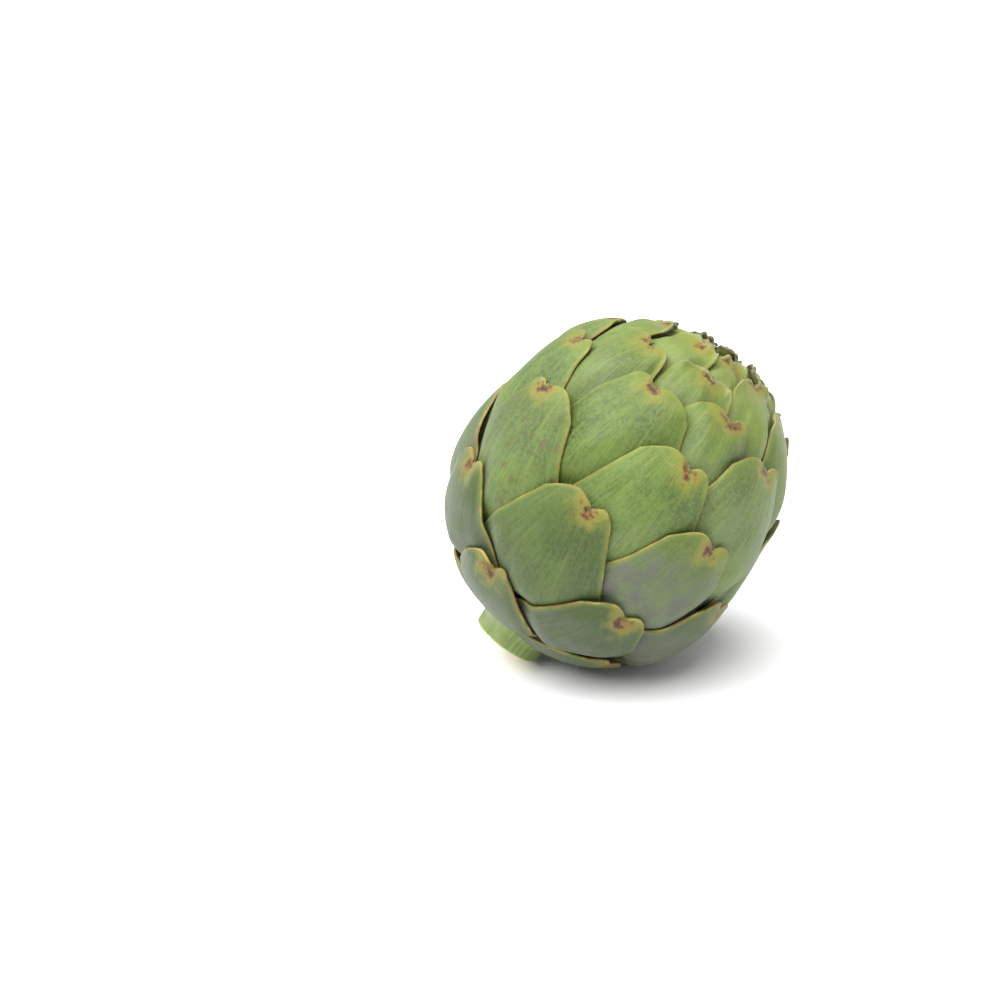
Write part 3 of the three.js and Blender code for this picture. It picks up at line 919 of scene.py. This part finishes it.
def heart_shape():
    """The stem, ribbed along its length, its cut end, and the heart it widens into."""
    heights = np.linspace(SKIN_FROM, SKIN_TO, HEART_RINGS)[:-1]
    cut = [(STEM_RADIUS * share, STEM_END) for share in CUT_RINGS]
    skin = [(float(heart_radius_at(z)), float(z)) for z in heights]
    profile = cut + CUT_ROUNDING + skin + TOP_RINGS
    points = lathe_points(profile, HEART_SIDES)
    radius = np.linalg.norm(points[..., :2], axis=-1)
    turn = np.broadcast_to(round_turn(HEART_SIDES), radius.shape)

    ribs = RIB_HEIGHT * np.sin(turn * RIBS + 0.8 * np.sin(turn * 2))
    ribs = ribs + FINE_RIB_HEIGHT * np.sin(turn * FINE_RIBS + 1.3)
    on_stem = smoothstep(points[..., 2], *STEM_FADES) * smoothstep(radius, *CUT_FADES)
    points[..., :2] *= (1 + ribs * on_stem / np.maximum(radius, 1))[..., None]
    waves = CUT_WAVE_HEIGHT * np.sin(turn * CUT_WAVES) * radius / STEM_RADIUS
    hollow = CUT_DISHED * (1 - (radius / STEM_RADIUS) ** 2) + waves
    is_cut = np.arange(len(profile)) < len(cut)
    points[is_cut, :, 2] += hollow[is_cut]

    rows = len(profile)
    index = np.arange(rows * HEART_SIDES).reshape(rows, HEART_SIDES)
    after = np.roll(index, -1, axis=1)
    quads = np.stack([index[:-1], after[:-1], after[1:], index[1:]], axis=-1).reshape(-1, 4)
    ends = [[0, 0, STEM_END + CUT_DISHED], [0, 0, HEART_TOP]]
    points = np.concatenate([points.reshape(-1, 3), ends])
    bottom, top = rows * HEART_SIDES, rows * HEART_SIDES + 1
    caps = [[bottom, after[0, k], index[0, k], index[0, k]] for k in range(HEART_SIDES)]
    caps += [[top, index[-1, k], after[-1, k], after[-1, k]] for k in range(HEART_SIDES)]

    face = np.repeat(np.arange(rows) < len(cut) + 1, HEART_SIDES).astype(float)
    return Shape(
        points,
        np.concatenate([quads, caps]),
        turn=np.append(np.abs(turn.ravel() - math.pi) * STRANDS, [0, 0]),
        height=np.append(points[:-2, 2], [STEM_END, HEART_TOP]),
        face=np.append(face, [1, 0]),
        ring=np.append(radius.ravel() / STEM_RADIUS, [0, 0]),
    )


# --- Inside the head --------------------------------------------------------------------------------

TIP_DROPS = 0, 2  # the least and the most by which a purple bract's tip is lower than its whorl's
TURN_VARIES = -0.02, 0.02
POINTED_SHARE = 0.7  # of a purple bract's length, over which it widens from its point
POINTED_POWER = 0.8
PLEATS = 14
PLEAT_DEPTH = 0.06
LEAF_MIDDLE = 0.45  # where a leaf lies in its whorl's room, and half its thickness there, as shares
LEAF_HALF = 0.35
LEAF_THINNING = 0.55
LEAF_FIBRES = 8, 20, 3  # across a leaf, from leaf to leaf, and from whorl to whorl


def purple_leaf(whorl, k, tip_height):
    """One thin pointed bract, pleated along its length. Each whorl lies in its own share of the room."""
    rng = np.random.default_rng(PURPLE_SEED + whorl * WHORL_COUNT + k)
    whorls = len(WHORL_TIPS)
    across = np.linspace(-1, 1, PURPLE_COLUMNS + 1)[None, :]
    share = np.linspace(0, 1, PURPLE_ROWS + 1)[:, None]
    tip = tip_height - rng.uniform(*TIP_DROPS)
    height = lerp(tip, BUD_BOTTOM, share) + 0 * across
    widened = np.sin(np.clip(share / POINTED_SHARE, 0, 1) * math.pi / 2) ** POINTED_POWER
    turn = 2 * math.pi * (k + whorl / whorls) / WHORL_COUNT + rng.uniform(*TURN_VARIES)
    azimuth = turn + WHORL_SPREAD * widened * across

    inner_radii, inner_heights = zip(*PURPLE_BUD_INNER)
    outer_radii, outer_heights = zip(*PURPLE_BUD_OUTER)
    outside = np.interp(height, outer_heights, outer_radii)
    room = outside - np.interp(height, inner_heights, inner_radii)
    pleat = PLEAT_DEPTH * np.sin(across * PLEATS) * np.clip(share * 4, 0, 1)
    half = LEAF_HALF * (1 - LEAF_THINNING * np.abs(across) ** 2)
    rings = []
    for side in (-half, half):
        radius = outside - room * ((whorl + LEAF_MIDDLE + side) / whorls + pleat / whorls)
        rings.append(np.stack([radius * np.cos(azimuth), radius * np.sin(azimuth), height], axis=-1))

    per_width, per_leaf, per_whorl = LEAF_FIBRES
    fibre = (across + 0 * height).ravel() * per_width + k * per_leaf + whorl * per_whorl
    along = (tip - height).ravel()
    faces = grid_faces(PURPLE_ROWS + 1, PURPLE_COLUMNS + 1)
    return Shape(np.stack(rings), faces, along=np.tile(along, 2), fibre=np.tile(fibre, 2))


def purple_bracts_shape():
    """Three whorls of thin pointed bracts over the choke, each whorl inside the last."""
    leaves = []
    for whorl, tip_height in enumerate(WHORL_TIPS):
        leaves.extend(purple_leaf(whorl, k, tip_height) for k in range(WHORL_COUNT))
    return Shape.joined(leaves)


HAIR_DROPS = 0, 1.5  # the least and the most by which a hair is shorter than the choke's outline
HAIR_SWAY = 0.5
HAIR_WAVE = 5
HAIR_BULGE = 0.06
HAIR_TAPER = 0.85
HAIR_HUES = 37


def choke_shape():
    """The choke: fine upright hairs, rooted in the heart."""
    rng = np.random.default_rng(CHOKE_SEED)
    index = np.arange(HAIR_COUNT)
    root_radius = (HAIRY_RADIUS * np.sqrt((index + 0.5) / HAIR_COUNT))[:, None, None]
    azimuth = (index * math.radians(GOLDEN_ANGLE))[:, None, None]
    outline_radii, outline_heights = zip(*CHOKE_TOP)
    drops = rng.uniform(*HAIR_DROPS, (HAIR_COUNT, 1, 1))
    top = np.interp(root_radius, outline_radii, outline_heights) - drops
    share = np.linspace(0, 1, HAIR_RINGS)[None, :, None]
    sway = HAIR_SWAY * np.sin(share * HAIR_WAVE + index[:, None, None]) * share
    radius = root_radius * (1 + HAIR_BULGE * np.sin(share * math.pi)) + sway * 0.4
    turn = round_turn(HAIR_SIDES)[None, None, :]
    girth = HAIR_RADIUS * (1 - HAIR_TAPER * share)
    x = radius * np.cos(azimuth) + girth * np.cos(turn)
    y = radius * np.sin(azimuth) + girth * np.sin(turn)
    z = lerp(HAIR_ROOT, top, share) + 0 * turn
    points = np.stack([x, y, z], axis=-1)

    number = np.arange(z.size).reshape(z.shape)
    after = np.roll(number, -1, axis=2)
    sides = np.stack([number[:, :-1], after[:, :-1], after[:, 1:], number[:, 1:]], axis=-1)
    ends = [number[:, 0, ::-1], number[:, -1]]
    caps = [np.concatenate([end, end[:, 2:]], axis=1) for end in ends]
    faces = np.concatenate([sides.reshape(-1, 4), *caps])
    up = np.broadcast_to(share, z.shape).ravel()
    return Shape(points, faces, up=up, hair=np.repeat(index % HAIR_HUES, HAIR_RINGS * HAIR_SIDES))


# --- The scene --------------------------------------------------------------------------------------


def add_floor():
    reach = FLOOR_REACH
    mesh = bpy.data.meshes.new("floor")
    corners = [(-reach, -reach, 0), (reach, -reach, 0), (reach, reach, 0), (-reach, reach, 0)]
    mesh.from_pydata(corners, [], [(0, 1, 2, 3)])
    grey = FLOOR_GREY, FLOOR_GREY, FLOOR_GREY, 1
    mesh.materials.append(Surface("floor").finish(grey, 0.9, None, Specular_IOR_Level=0.1))
    floor = bpy.data.objects.new("floor", mesh)
    bpy.context.scene.collection.objects.link(floor)


def add_sun(name, strength, width, direction):
    """A soft far light, as wide as its degrees, from a direction in the frame."""
    light = bpy.data.lights.new(name, "SUN")
    light.energy = strength
    light.angle = math.radians(width)
    lamp = bpy.data.objects.new(name, light)
    lamp.rotation_euler = Vector(direction).to_track_quat("Z", "Y").to_euler()
    bpy.context.scene.collection.objects.link(lamp)


def add_lights():
    world = bpy.data.worlds.new("studio")
    world.use_nodes = True
    background = world.node_tree.nodes["Background"]
    background.inputs["Color"].default_value = (1, 1, 1, 1)
    background.inputs["Strength"].default_value = WORLD_STRENGTH
    bpy.context.scene.world = world
    add_sun("key", strength=6.8, width=80, direction=(-0.32, -0.22, 1))
    add_sun("front", strength=0.25, width=90, direction=(0.3, -1, 0.5))
    bpy.context.scene.view_settings.view_transform = "Standard"


def add_camera():
    pitch = math.radians(CAMERA_PITCH)
    back = Vector((0, -math.cos(pitch), math.sin(pitch)))
    up = Vector((0, math.sin(pitch), math.cos(pitch)))
    target = HEAD_CENTRE + Vector((-AIM_LEFT, 0, 0)) - up * AIM_DOWN
    data = bpy.data.cameras.new("camera")
    data.lens = CAMERA_LENS
    camera = bpy.data.objects.new("camera", data)
    camera.location = target + back * CAMERA_DISTANCE
    camera.rotation_euler = back.to_track_quat("Z", "Y").to_euler()
    bpy.context.scene.collection.objects.link(camera)
    bpy.context.scene.camera = camera


def main():
    slots = {part["node"]: part["material_slot"] for part in frame["record"]["subparts"]}
    bracts = bract_material()
    own_piece = HIGHEST - LOWEST + 1
    for number, bract in enumerate(BRACTS[:own_piece], start=1):
        name = f"bract_{number:02d}"
        add_piece("fine_" + name, bract_shape(bract), bracts, slots[name], name)
    closing = Shape.joined([bract_shape(bract) for bract in BRACTS[own_piece:]])
    add_piece("crown_heart_leaves", closing, bracts, "pale_bud", "inner_bud_pale")
    add_piece("fine_heart_and_stem", heart_shape(), heart_material(), "heart", "heart_and_stem")
    purple = purple_bracts_shape()
    add_piece("fine_purple_bracts", purple, purple_material(), "purple_bud", "inner_bud_purple")
    add_piece("fine_choke", choke_shape(), choke_material(), "choke", "choke")
    add_floor()
    add_lights()
    add_camera()


main()
